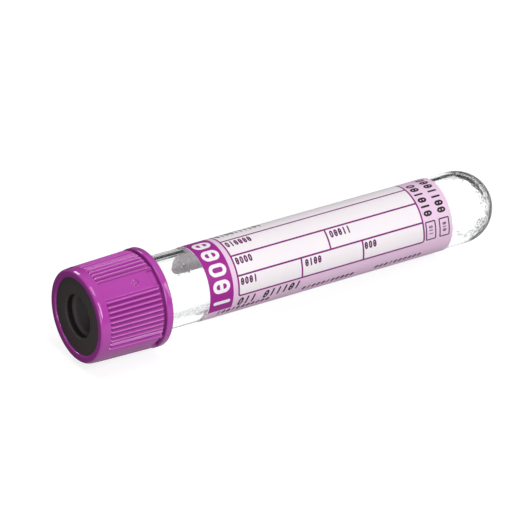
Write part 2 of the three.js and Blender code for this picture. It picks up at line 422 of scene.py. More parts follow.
def build_cap(material):
    """A ribbed cap as one profile loop carried round: rim, side, collar, skirt, ledge, chamber."""
    collar_start = skirt_end - COLLAR_WIDTH
    grip_end = collar_start - CHANNEL_WIDTH
    channel_floor = CAP_BASE_RADIUS - CHANNEL_DEPTH
    quarter = np.radians(np.linspace(90, 0, 9))
    shoulder = np.stack(
        [
            RIM_FLAT + (cap_side(SHOULDER) - RIM_FLAT) * np.cos(quarter),
            SHOULDER + (rim_face - SHOULDER) * np.sin(quarter),
        ],
        axis=-1,
    )
    side_places = np.concatenate(
        [
            (0.85, 1.1, 1.3),
            GRIP_START + np.array((0.0, 0.035, 0.07)),
            GRIP_START + np.linspace(0.07, NOTCH_LENGTH, 8)[1:],
            (2.3, 3.2, 4.8, 6.2, 6.9),
            np.linspace(7.2, 8.5, 14),
            (9.0, 10.0),
            THUMB_RECESS[0] + np.linspace(-0.08, 0.08, 6),
            (11.0,),
            grip_end - np.linspace(NOTCH_LENGTH, 0, 9),
        ]
    )
    side = np.stack([cap_side(side_places), side_places], axis=-1)
    ribs = thread_rows(RIB_MIDDLE)
    bore = np.stack([np.full(len(ribs), SKIRT_BORE), ribs], axis=-1)
    rim_edge = arc(RIM_BORE + RIM_EDGE, rim_face + RIM_EDGE, RIM_EDGE, 180, 270, 6)
    line = profile(
        rim_edge,
        shoulder,
        side,
        (channel_floor, grip_end + 0.03),
        (channel_floor, collar_start - 0.03),
        arc(collar_radius - 0.2, collar_start + 0.2, 0.2, -90, 0, 5),
        arc(collar_radius - 0.35, skirt_end - 0.35, 0.35, 0, 90, 7),
        (SKIRT_BORE + SKIRT_CHAMFER, skirt_end),
        (SKIRT_BORE, skirt_end - SKIRT_CHAMFER),
        (SKIRT_BORE, RIB_MIDDLE + 3.4),
        bore,
        (SKIRT_BORE, LEDGE_BOTTOM + 0.35),
        arc(SKIRT_BORE - 0.3, LEDGE_BOTTOM + 0.3, 0.3, 0, -90, 4),
        (LEDGE_BORE + 0.1, LEDGE_BOTTOM),
        (LEDGE_BORE, LEDGE_BOTTOM - 0.1),
        (LEDGE_BORE, LEDGE_TOP + 0.1),
        (LEDGE_BORE + 0.1, LEDGE_TOP),
        (CHAMBER_RADIUS, LEDGE_TOP),
        (CHAMBER_RADIUS, -0.05),
        (RIM_BORE, -0.03),
    )
    turn = np.sort(cap_turns() % 360)[None, :]
    radius, along = line[:, :1] + 0 * turn, line[:, 1:] + 0 * turn
    first_side = len(rim_edge) + len(shoulder)
    is_side = stretch_rows(line, first_side, len(side))[:, None]
    gate = gate_height(turn, line[:, 1:])
    depth, painted_light = grip_depth(turn, line[:, 1:])
    radius = radius + (gate - depth) * is_side
    # Painted shade on the gate mark's slope, in place of the grip's painted light there.
    gate_slope_shade = 4 * gate * (GATE_MARK[2] - gate) / GATE_MARK[2] ** 2
    painted_light = np.where(gate > 0, 0.8 * gate_slope_shade, painted_light) * is_side
    first_after = first_side + len(side)
    # The channel's floor gets full painted shade.
    painted_light[first_after : first_after + 2] = 1  # the channel's floor
    # 13 points follow the bore and 11 are counted, so its first two rows stay straight while the
    # next ones lean. There the bore folds over itself at each thread start.
    first_rib = len(line) - 11 - len(bore)
    is_bore = stretch_rows(line, first_rib, len(bore))[:, None]
    from_middle = line[:, 1:] - RIB_MIDDLE
    radius = radius - RIB_HEIGHT * thread_height(turn, from_middle) * is_bore
    along = along - thread_lean(from_middle) * is_bore * thread_climb(turn)
    points, faces = ring_surface(radius, turn, along)
    piece = make_piece(
        "ribbed_cap", points, faces, material, "cap", "cap_shell"
    )
    # The painted light goes to the material: painted shade in the hollows, a painted highlight on the
    # crests.
    attribute = piece.data.attributes.new("painted_light", "FLOAT", "POINT")
    attribute.data.foreach_set("value", painted_light.astype(np.float32).ravel())
    return piece


# ---- the ring and the stopper

RING_BORE = 3.7
ROUND_COLUMNS = 192


def build_ring(material):
    """A flat ring with small rounded edges."""
    line = profile(
        arc(ring_radius - 0.1, 0.1, 0.1, 0, -90, 3),
        arc(RING_BORE + 0.2, 0.2, 0.2, 270, 180, 6),
        (RING_BORE, ring_back - 0.05),
        (RING_BORE + 0.05, ring_back),
        (ring_radius, ring_back),
    )
    turn = even_turns(ROUND_COLUMNS)
    points, faces = ring_surface(line[:, :1], turn, line[:, 1:])
    return make_piece(
        "black_ring", points, faces, material, "cap", "retaining_ring"
    )


WELL_RADIUS = 3.15
WELL_DEPTH = 3.6
RECESS_RADIUS = 3.3
RECESS_DEPTH = 4.4
FLANGE_THICKNESS = 2.75
PLUG_RADIUS = 5.3


def build_stopper(material):
    """A rubber stopper: a flange with a rounded needle well, and a plug that is hollow below."""
    well_floor = flange_top + WELL_DEPTH
    recess_top = plug_end - RECESS_DEPTH
    flange_back = flange_top + FLANGE_THICKNESS
    line = profile(
        (0, recess_top),
        (1.2, recess_top),
        arc(RECESS_RADIUS - 1, recess_top + 1, 1, -90, 0, 6),
        (RECESS_RADIUS, plug_end - 0.1),
        (RECESS_RADIUS + 0.1, plug_end),
        arc(PLUG_RADIUS - 0.48, plug_end - 0.4, 0.4, 90, 0, 5),
        (PLUG_RADIUS, tube_mouth),
        (PLUG_RADIUS, flange_back + 0.1),
        (PLUG_RADIUS + 0.1, flange_back),
        arc(flange_radius - 0.2, flange_back - 0.2, 0.2, 90, 0, 3),
        arc(flange_radius - 0.2, flange_top + 0.2, 0.2, 0, -90, 3),
        (RING_BORE + 0.4, flange_top),
        arc(WELL_RADIUS + 0.6, flange_top + 0.6, 0.6, 270, 180, 10),
        arc(WELL_RADIUS - 1.4, well_floor - 1.4, 1.4, 0, 90, 10),
        (1, well_floor),
        (0, well_floor),
    )
    turn = even_turns(ROUND_COLUMNS)
    points, faces = domed_surface(line[:, :1] + 0 * turn, turn, line[:, 1:] + 0 * turn)
    return make_piece(
        "rubber_stopper", points, faces, material, "stopper", "stopper"
    )


# ---- the label

LABEL_GAP = 0.03
LABEL_THICKNESS = 0.09
LABEL_LOWER_TURN = -168.75
LABEL_UPPER_TURN = 101.25
LABEL_CORNER = 1.6
FORM_LOWER_TURN = -96.3  # the form's lower line, from which the print is measured round the tube
PRINT_PER_DEGREE = 0.1105  # mm of print round the tube for each degree


def build_label(outside, inside):
    """A film wrapped round the tube, as a grid along and round, with rounded corners.

    Each corner's square of the grid is drawn into a quarter disc by the elliptical mapping: each
    coordinate is shortened by the square root of one less half the other one's square.
    """
    length = label_end - label_start
    height = (LABEL_UPPER_TURN - LABEL_LOWER_TURN) * PRINT_PER_DEGREE
    corner_steps = 8

    def spread(size, steps):
        """Places across the film: a fine stretch at both ends, and an even one between."""
        edge = np.linspace(0, LABEL_CORNER, corner_steps + 1)
        middle = np.linspace(LABEL_CORNER, size - LABEL_CORNER, steps + 1)
        return np.concatenate([edge[:-1], middle, size - edge[::-1][1:]])

    x, y = np.meshgrid(spread(length, 60), spread(height, 150), indexing="ij")
    inside_x = np.clip(x, LABEL_CORNER, length - LABEL_CORNER)
    inside_y = np.clip(y, LABEL_CORNER, height - LABEL_CORNER)
    over_x, over_y = (x - inside_x) / LABEL_CORNER, (y - inside_y) / LABEL_CORNER
    x = inside_x + LABEL_CORNER * over_x * np.sqrt(1 - over_y**2 / 2)
    y = inside_y + LABEL_CORNER * over_y * np.sqrt(1 - over_x**2 / 2)
    along = label_start + x
    turn = LABEL_LOWER_TURN + y / PRINT_PER_DEGREE
    base = tube_outside(along) + LABEL_GAP
    outer = place(base + LABEL_THICKNESS, turn, along)
    inner = place(base, turn, along)
    rows, columns = x.shape
    count = rows * columns
    quads = grid_quads(rows, columns, False, False)
    numbers = np.arange(count).reshape(rows, columns)
    border = np.concatenate(
        [numbers[0, :-1], numbers[:-1, -1], numbers[-1, :0:-1], numbers[:0:-1, 0]]
    )
    following = np.roll(border, -1)
    edge = np.stack([border, border + count, following + count, following], axis=-1)
    faces = [np.concatenate([quads, quads[:, ::-1] + count, edge])]
    points = np.concatenate([outer.reshape(-1, 3), inner.reshape(-1, 3)])
    piece = make_piece("wrapped_label", points, faces, outside, "tube", "label")
    mesh = piece.data
    mesh.materials.append(inside)
    slots = np.zeros(len(mesh.polygons), np.int32)
    slots[len(quads) :] = 1
    mesh.polygons.foreach_set("material_index", slots)
    form_lower = (FORM_LOWER_TURN - LABEL_LOWER_TURN) * PRINT_PER_DEGREE
    measures = np.stack([x.ravel(), (y - form_lower).ravel()], axis=-1)
    measures = np.concatenate([measures, measures])
    corners = np.empty(len(mesh.loops), np.int32)
    mesh.loops.foreach_get("vertex_index", corners)
    print_map = mesh.uv_layers.new(name="print_mm")
    print_map.data.foreach_set("uv", measures[corners].astype(np.float32).ravel())
    return piece


# ---- the dried additive

DROPLET_COUNT = 650
DROPLET_SEED = 11
SPRAY_TURN = 69  # middle of the side that got the spray
SPRAY_HALF = 34  # degrees of it, either way
STRAY_SHARE = 0.04  # of the droplets, spread evenly over the wall
DROPLET_SIZE = (0.07, 0.17, 1.8)  # smallest, what the largest has more, a power that favours small


def build_droplets(material):
    """Dried droplets on the inner wall: one small dome, copied to random places as arrays."""
    random = np.random.default_rng(DROPLET_SEED)
    inner_wall_end = inner_start + 1.5
    spread = random.random(DROPLET_COUNT)
    along = label_start + (inner_wall_end - label_start) * spread**1.4
    aside = random.uniform(-1, 1, DROPLET_COUNT)
    turn = SPRAY_TURN + SPRAY_HALF * aside
    stray = random.random(DROPLET_COUNT) < STRAY_SHARE
    along = np.where(stray, plug_end + 1 + (inner_wall_end - plug_end - 1) * spread, along)
    turn = np.where(stray, 180 * aside, turn)
    smallest, more, power = DROPLET_SIZE
    size = smallest + more * random.random(DROPLET_COUNT) ** power
    share = (along - tube_mouth) / (inner_start - tube_mouth)
    wall = MOUTH_RADIUS - WALL + (inner_end - MOUTH_RADIUS + WALL) * share
    past = np.clip(along - inner_start, 0, None)
    wall = np.sqrt(np.clip(wall**2 - past**2, 0, None)) - 0.004
    tilt = np.radians((90, 45))
    spin = np.linspace(0, 2 * np.pi, 8, endpoint=False)
    across = (np.sin(tilt)[:, None] * np.cos(spin)).ravel()
    ahead = (np.sin(tilt)[:, None] * np.sin(spin)).ravel()
    rise = np.repeat(np.cos(tilt), len(spin)) * 0.35
    across, ahead, rise = (np.append(a, (0, 0)) for a in (across, ahead, rise))
    rise[-2], rise[-1] = 0.35, 0
    stretch = random.uniform(0.8, 1.25, DROPLET_COUNT)[:, None]
    radius = wall[:, None] - size[:, None] * rise
    turns = turn[:, None] + np.degrees(size[:, None] * across * stretch / wall[:, None])
    places = along[:, None] + size[:, None] * ahead / stretch
    points = place(radius, turns, places).reshape(-1, 3)
    rows, columns = len(tilt), len(spin)
    top, base = rows * columns, rows * columns + 1
    quads = grid_quads(rows, columns, False, True)
    fans = pole_fans(rows, columns, base, top)
    step = (np.arange(DROPLET_COUNT) * (top + 2))[:, None, None]
    faces = [(quads + step).reshape(-1, 4), (fans + step).reshape(-1, 3)]
    return make_piece("dried_additive", points, faces, material, "tube", crease=60)


# ---- material helpers


def linear(colour):
    """An sRGB colour written in 0 to 255 as the linear colour that a shader takes."""
    share = np.array(colour, float) / 255
    value = np.where(share <= 0.04045, share / 12.92, ((share + 0.055) / 1.055) ** 2.4)
    return (*value, 1.0)


class Nodes:
    """A short way to add nodes and links to one node tree."""

    def __init__(self, tree):
        self.tree = tree

    def feed(self, socket, value):
        """Link a socket to the value's node, or set it to a plain value."""
        if isinstance(value, bpy.types.NodeSocket):
            self.tree.links.new(value, socket)
        else:
            socket.default_value = value

    def add(self, kind, inputs=None, **settings):
        node = self.tree.nodes.new(kind)
        for key, value in settings.items():
            setattr(node, key, value)
        for key, value in (inputs or {}).items():
            self.feed(node.inputs[key], value)
        return node

    def use(self, group, **values):
        """The outputs of a node group whose sockets are fed by name, with _ for a space."""
        inputs = {key.replace("_", " "): value for key, value in values.items()}
        return self.add("ShaderNodeGroup", inputs, node_tree=group).outputs

    def math(self, operation, *values, clamp=False):
        inputs = dict(enumerate(values))
        return self.add("ShaderNodeMath", inputs, operation=operation, use_clamp=clamp).outputs[0]

    def plus(self, first, second):
        return self.math("ADD", first, second)

    def minus(self, first, second):
        return self.math("SUBTRACT", first, second)

    def times(self, first, second):
        return self.math("MULTIPLY", first, second)

    def larger(self, first, second):
        return self.math("MAXIMUM", first, second)

    def combine(self, x, y, z=0.0):
        return self.add("ShaderNodeCombineXYZ", {"X": x, "Y": y, "Z": z}).outputs[0]

    def split(self, vector):
        return self.add("ShaderNodeSeparateXYZ", {"Vector": vector}).outputs

    def vector(self, operation, *values):
        node = self.add("ShaderNodeVectorMath", dict(enumerate(values)), operation=operation)
        is_number = operation in ("LENGTH", "DISTANCE", "DOT_PRODUCT")
        return node.outputs["Value" if is_number else "Vector"]

    def mix(self, factor, first, second):
        inputs = {"Factor": factor, 6: first, 7: second}
        return self.add("ShaderNodeMix", inputs, data_type="RGBA").outputs[2]

    def step_up(self, value, start, end):
        """0 below the start, 1 above the end, and a soft S between."""
        values = {"Value": value, "From Min": start, "From Max": end}
        node = self.add("ShaderNodeMapRange", values, interpolation_type="SMOOTHSTEP")
        return node.outputs["Result"]

    def span(self, value, low, high):
        """A value of 0 to 1 as one from low to high."""
        node = self.add("ShaderNodeMapRange", {"Value": value, "To Min": low, "To Max": high})
        return node.outputs["Result"]


def new_group(name, inputs, outputs):
    """An empty node group with named float or vector sockets, and its in and out nodes."""
    tree = bpy.data.node_groups.new(name, "ShaderNodeTree")
    for label, value in inputs.items():
        kind = "NodeSocketVector" if value is None else "NodeSocketFloat"
        socket = tree.interface.new_socket(name=label, in_out="INPUT", socket_type=kind)
        if value is not None:
            socket.default_value = value
    for label in outputs:
        tree.interface.new_socket(name=label, in_out="OUTPUT", socket_type="NodeSocketFloat")
    nodes = Nodes(tree)
    source = nodes.add("NodeGroupInput")
    result = nodes.add("NodeGroupOutput")
    return nodes, source.outputs, result


def surface_group():
    """Slow mottling and fine grain of a moulded or cast surface."""
    nodes, given, result = new_group(
        "moulded_surface",
        {"Place": None, "Mottle scale": 60.0, "Grain scale": 900.0},
        ("Mottle", "Grain"),
    )
    for name, detail, roughness in (("Mottle", 3.0, 0.55), ("Grain", 2.0, 0.6)):
        noise = nodes.add("ShaderNodeTexNoise", {"Vector": given["Place"], "Detail": detail})
        nodes.feed(noise.inputs["Scale"], given[f"{name} scale"])
        nodes.feed(noise.inputs["Roughness"], roughness)
        nodes.feed(result.inputs[name], noise.outputs["Fac"])
    return nodes.tree


PRINT_SOFTNESS = 0.05  # mm over which the ink's edge fades


def box_group():
    """A printed box with rounded corners: 1 inside and 0 outside, from its distance to a core."""
    nodes, given, result = new_group(
        "printed_box",
        {"Place": None, "Left": 0.0, "Right": 1.0, "Lower": 0.0, "Upper": 1.0, "Corner": 0.05},
        ("Ink",),
    )
    left, right, lower, upper = (given[side] for side in ("Left", "Right", "Lower", "Upper"))
    centre = nodes.combine(
        nodes.times(nodes.plus(left, right), 0.5), nodes.times(nodes.plus(lower, upper), 0.5)
    )
    half = nodes.combine(
        nodes.times(nodes.minus(right, left), 0.5), nodes.times(nodes.minus(upper, lower), 0.5)
    )
    corner = nodes.combine(given["Corner"], given["Corner"])
    core = nodes.vector("SUBTRACT", half, corner)
    offset = nodes.vector("ABSOLUTE", nodes.vector("SUBTRACT", given["Place"], centre))
    beyond = nodes.vector("MAXIMUM", nodes.vector("SUBTRACT", offset, core), (0, 0, 0))
    distance = nodes.vector("LENGTH", beyond)
    inward = nodes.minus(nodes.plus(given["Corner"], PRINT_SOFTNESS / 2), distance)
    ink = nodes.math("DIVIDE", inward, PRINT_SOFTNESS, clamp=True)
    nodes.feed(result.inputs["Ink"], ink)
    return nodes.tree


ONE_SHARE = 0.28  # of the printed numbers
EIGHT_SHARE = 0.4


def numbers_group(box):
    """A row of plain numbers, 0, 1 and 8: the place is folded by the pitch, one number to a fold.

    White noise read at the number's place in the row picks its shape. A 0 is a rounded ring, an 8
    has a bar across it as well, and a 1 is a single stroke. Slant leans the row, and Count ends it.
    """
    sizes = {"Place": None, "Left": 0.0, "Lower": 0.0, "Upper": 1.0, "Pitch": 1.0, "Width": 0.7}
    sizes |= {"Stroke": 0.15, "Slant": 0.0, "Count": 1.0, "Seed": 0.0}
    nodes, given, result = new_group("printed_numbers", sizes, ("Ink",))
    place = nodes.split(given["Place"])
    across, height = place["X"], place["Y"]
    leaned = nodes.minus(across, nodes.times(height, given["Slant"]))
    steps = nodes.math("DIVIDE", nodes.minus(leaned, given["Left"]), given["Pitch"])
    half_pitch = nodes.minus(nodes.math("FRACT", steps), 0.5)
    folded = nodes.combine(nodes.times(half_pitch, given["Pitch"]), height)
    number = nodes.math("FLOOR", steps)
    cell = nodes.combine(number, given["Seed"])
    chance = nodes.add("ShaderNodeTexWhiteNoise", {"Vector": cell}, noise_dimensions="2D").outputs[0]
    half_width = nodes.times(given["Width"], 0.5)
    stroke = given["Stroke"]
    half_stroke = nodes.times(stroke, 0.5)

    def placed(half, lower, upper, corner):
        left = nodes.times(half, -1.0)
        sides = {"Left": left, "Right": half, "Lower": lower, "Upper": upper}
        return nodes.use(box, Place=folded, Corner=corner, **sides)["Ink"]

    hole = placed(
        nodes.minus(half_width, stroke),
        nodes.plus(given["Lower"], stroke),
        nodes.minus(given["Upper"], stroke),
        nodes.times(stroke, 0.7),
    )
    whole = placed(half_width, given["Lower"], given["Upper"], nodes.times(stroke, 1.7))
    middle = nodes.times(nodes.plus(given["Lower"], given["Upper"]), 0.5)
    waist = placed(
        half_width,
        nodes.minus(middle, half_stroke),
        nodes.plus(middle, half_stroke),
        nodes.times(stroke, 0.3),
    )
    single = placed(half_stroke, given["Lower"], given["Upper"], half_stroke)
    waist = nodes.times(waist, nodes.math("GREATER_THAN", chance, 1 - EIGHT_SHARE))
    ring = nodes.larger(nodes.minus(whole, hole), waist)
    picked = nodes.add(
        "ShaderNodeMix",
        {"Factor": nodes.math("LESS_THAN", chance, ONE_SHARE), 2: ring, 3: single},
        data_type="FLOAT",
    ).outputs[0]
    started = nodes.math("GREATER_THAN", steps, 0.0)
    in_row = nodes.times(started, nodes.math("LESS_THAN", number, given["Count"]))
    nodes.feed(result.inputs["Ink"], nodes.times(picked, in_row))
    return nodes.tree


def new_material(name, **sockets):
    """A material with a Principled shader whose plain values are set by name, and its nodes."""
    material = bpy.data.materials.new(name)
    material.use_nodes = True
    tree = material.node_tree
    shader = tree.nodes["Principled BSDF"]
    for key, value in sockets.items():
        shader.inputs[key.replace("_", " ")].default_value = value
    return material, Nodes(tree), shader


def object_place(nodes):
    return nodes.add("ShaderNodeTexCoord").outputs["Object"]


def add_surface(nodes, shader, group, mottle_scale, grain_scale, base, spread, rough, bump, depth):
    """Mottled colour, uneven roughness and a fine bump, all from one moulded_surface group."""
    scales = {"Mottle_scale": mottle_scale, "Grain_scale": grain_scale}
    surface = nodes.use(group, Place=object_place(nodes), **scales)
    colour = nodes.mix(surface["Mottle"], linear(base), linear(spread))
    nodes.feed(shader.inputs["Base Color"], colour)
    nodes.feed(shader.inputs["Roughness"], nodes.span(surface["Mottle"], *rough))
    add_bump(nodes, shader, surface["Grain"], bump, depth)
    return colour


def add_bump(nodes, shader, height, strength, depth):
    """A bump from a height of 0 to 1. Its full depth is given in mm."""
    values = {"Height": height, "Strength": strength, "Distance": depth * MM}
    nodes.feed(shader.inputs["Normal"], nodes.add("ShaderNodeBump", values).outputs["Normal"])


# ---- the materials


CLEAR = (252, 253, 253)
# Painted shade greys the wall's edges, most on its round end and on its lower side.
PAINTED_WALL_SHADE = (56, 56, 58)
END_WAVES = (0.0305, 0.0355)  # where the wall's end starts to be wavy, and where it fully is: frame X
END_LOW = (0.002, 0.006)  # heights between which the wall's lower side is greyer
EDGE_FACING = (0.48, 0.56)  # how far the wall turns away while its edge becomes grey
GRAZING = (0.55, 0.85)  # how far it turns away while that grey fades, except low on the wall


def clear_polyester(group):
    """Clear moulded polyester. Lamps shine through it, its round end is wavier than its wall, and
    painted shade greys its edges and its lower side.
    """
    material, nodes, shader = new_material(
        "clear_polyester", Roughness=0.0, IOR=1.575, Transmission_Weight=1.0
    )
    place = object_place(nodes)
    axes = nodes.split(place)
    end_share = nodes.step_up(axes["X"], *END_WAVES)
    surface = nodes.use(group, Place=place, Mottle_scale=900.0, Grain_scale=2600.0)
    waves = nodes.plus(surface["Mottle"], nodes.times(surface["Grain"], 0.3))
    end_middle = ring_face + end_start * MM * tipward
    from_middle = nodes.vector("DISTANCE", place, tuple(end_middle))
    inner = nodes.math("LESS_THAN", from_middle, (END_RADIUS - WALL / 3) * MM)
    share = nodes.times(end_share, inner)
    add_bump(nodes, shader, nodes.times(waves, share), 1.0, 0.025)
    # Painted shade: grey where the wall turns away from the view, most on the round end and low on the
    # wall, in patches.
    facing = nodes.add("ShaderNodeLayerWeight", {"Blend": 0.5}).outputs["Facing"]
    low = nodes.minus(1.0, nodes.step_up(axes["Z"], *END_LOW))
    uneven = nodes.span(nodes.step_up(surface["Mottle"], 0.35, 0.65), -0.1, 0.1)
    uneven = nodes.times(nodes.plus(uneven, nodes.span(low, 0.18, 0.36)), end_share)
    uneven = nodes.larger(uneven, nodes.times(low, 0.16))
    rim = nodes.step_up(nodes.plus(facing, uneven), *EDGE_FACING)
    grazing = nodes.times(nodes.step_up(facing, *GRAZING), nodes.minus(1.0, low))
    rim = nodes.times(rim, nodes.span(grazing, 1.0, 0.45))
    rim = nodes.times(rim, nodes.minus(1.0, inner))
    patchy = nodes.span(nodes.step_up(surface["Grain"], 0.42, 0.58), 0.45, 1.0)
    strength = nodes.larger(nodes.span(end_share, 0.1, 1.0), nodes.times(low, 0.65))
    painted_shade = nodes.times(nodes.times(rim, patchy), strength)
    nodes.feed(shader.inputs["Base Color"], nodes.mix(painted_shade, linear(CLEAR), linear(PAINTED_WALL_SHADE)))
    clear = nodes.add("ShaderNodeBsdfTransparent", {"Color": (0.985, 0.985, 0.985, 1)})
    lamps = nodes.add("ShaderNodeLightPath").outputs["Is Shadow Ray"]
    shaders = {0: lamps, 1: shader.outputs[0], 2: clear.outputs[0]}
    mixed = nodes.add("ShaderNodeMixShader", shaders)
    nodes.feed(nodes.tree.nodes["Material Output"].inputs["Surface"], mixed.outputs[0])
    return material


# A painted highlight for the crests, and painted shade for the hollows and the silhouette edges.
CREST_HIGHLIGHT_PURPLE = (222, 120, 214)
HOLLOW_SHADE_PURPLE = (96, 18, 90)
EDGE_SHADE_PURPLE = (48, 8, 44)


def purple_polyethylene(group):
    """Glossy moulded polyethylene, with a painted highlight on its crests, and painted shade in its
    hollows and towards its silhouette edges.
    """
    material, nodes, shader = new_material(
        "purple_polyethylene", Specular_IOR_Level=0.5, Coat_Weight=0.4
    )
    colour = add_surface(
        nodes, shader, group, 90.0, 1500.0, (180, 62, 168), (190, 72, 179), (0.07, 0.12), 0.1, 0.015
    )
    painted_light = nodes.add("ShaderNodeAttribute", attribute_name="painted_light").outputs["Fac"]
    # Painted highlight: paler on the crests.
    crest = nodes.step_up(nodes.times(painted_light, -1.0), 0.0, 1.0)
    colour = nodes.mix(nodes.times(crest, 0.75), colour, linear(CREST_HIGHLIGHT_PURPLE))
    # Painted shade: darker in the hollows.
    hollow = nodes.step_up(painted_light, 0.0, 1.0)
    colour = nodes.mix(nodes.times(hollow, 0.62), colour, linear(HOLLOW_SHADE_PURPLE))
    # Painted shade: darker where the surface turns away towards the silhouette.
    facing = nodes.add("ShaderNodeLayerWeight", {"Blend": 0.5}).outputs["Facing"]
    edge = nodes.step_up(facing, 0.68, 0.93)
    nodes.feed(shader.inputs["Base Color"], nodes.mix(edge, colour, linear(EDGE_SHADE_PURPLE)))
    return material


# Painted shade deep in the ring's bore: its colour, and how far in it darkens.
BORE_PAINTED_SHADE = (40, 36, 36)
BORE_SHADE = (0.1, 0.5)  # mm into the ring's bore, over which it darkens


def black_plastic(group):
    """Fine matt plastic, with painted shade that darkens it inside the ring's bore."""
    material, nodes, shader = new_material("black_plastic", Specular_IOR_Level=0.25)
    colour = add_surface(
        nodes, shader, group, 300.0, 5000.0, (82, 76, 76), (90, 84, 84), (0.5, 0.62), 0.35, 0.03
    )
    inward = nodes.vector("SUBTRACT", object_place(nodes), tuple(ring_face))
    depth = nodes.vector("DOT_PRODUCT", inward, tuple(tipward))
    # Painted shade: darker the deeper it lies in the bore.
    bore = nodes.step_up(depth, BORE_SHADE[0] * MM, BORE_SHADE[1] * MM)
    nodes.feed(shader.inputs["Base Color"], nodes.mix(bore, colour, linear(BORE_PAINTED_SHADE)))
    return material


def stopper_rubber(group):
    material, nodes, shader = new_material("stopper_rubber", Specular_IOR_Level=0.4)
    add_surface(
        nodes, shader, group, 400.0, 4000.0, (84, 80, 81), (96, 91, 92), (0.6, 0.75), 0.5, 0.05
    )
    return material


def dried_droplets(group):
    material, nodes, shader = new_material("dried_additive")
    add_surface(
        nodes, shader, group, 800.0, 6000.0, (250, 250, 250), (238, 238, 238), (0.4, 0.6), 0.3, 0.02
    )
    return material


def label_adhesive_side(group):
    """The film's inner side. The film is thin, so light that falls on the print glows through."""
    material, nodes, shader = new_material("label_adhesive_side", Subsurface_Weight=1.0)
    shader.inputs["Subsurface Radius"].default_value = (1.0, 0.9, 1.0)
    shader.inputs["Subsurface Scale"].default_value = 0.5 * MM
    add_surface(
        nodes, shader, group, 350.0, 3000.0, (248, 216, 228), (240, 206, 218), (0.5, 0.65), 0.4, 0.03
    )
    return material


BAND_PURPLE = (164, 34, 148)
LILAC = (240, 207, 234)
FORM_WHITE = (248, 241, 246)
LINE_PURPLE = (130, 0, 116)
CAPTION_PURPLE = (100, 14, 92)
PRINT_BLACK = (34, 26, 32)
MARK_WHITE = (250, 246, 250)

LINE = 0.3
BAND_WIDTH = 4.55
BAND_LOWER = -2.15
FORM_LEFT, FORM_RIGHT = 5.6, 42.2
ROW = 3.49
FORM_ROWS = 4
DIVIDERS = ((23.9, 1), (18.0, 0), (30.1, 0))  # along the print, and the row they stand in
CAPTION_PITCH = 0.84
CAPTIONS = (  # first place in the row of captions, row, count of numbers
    (7, 2, 6),
    (7, 1, 4),
    (29, 1, 5),
    (7, 0, 4),
    (22, 0, 4),
    (36, 0, 3),
)
HEADING = (6.1, 10)  # of the top row: along the print, and its count
BOLD_WORDS = ((5.9, 3), (10.9, 6))
SMALL_WORDS = ((2.6, 11), (19.3, 11), (33.7, 10))
CODE_COLUMNS = ((42.75, 6), (45.45, 8))  # along the print, and count


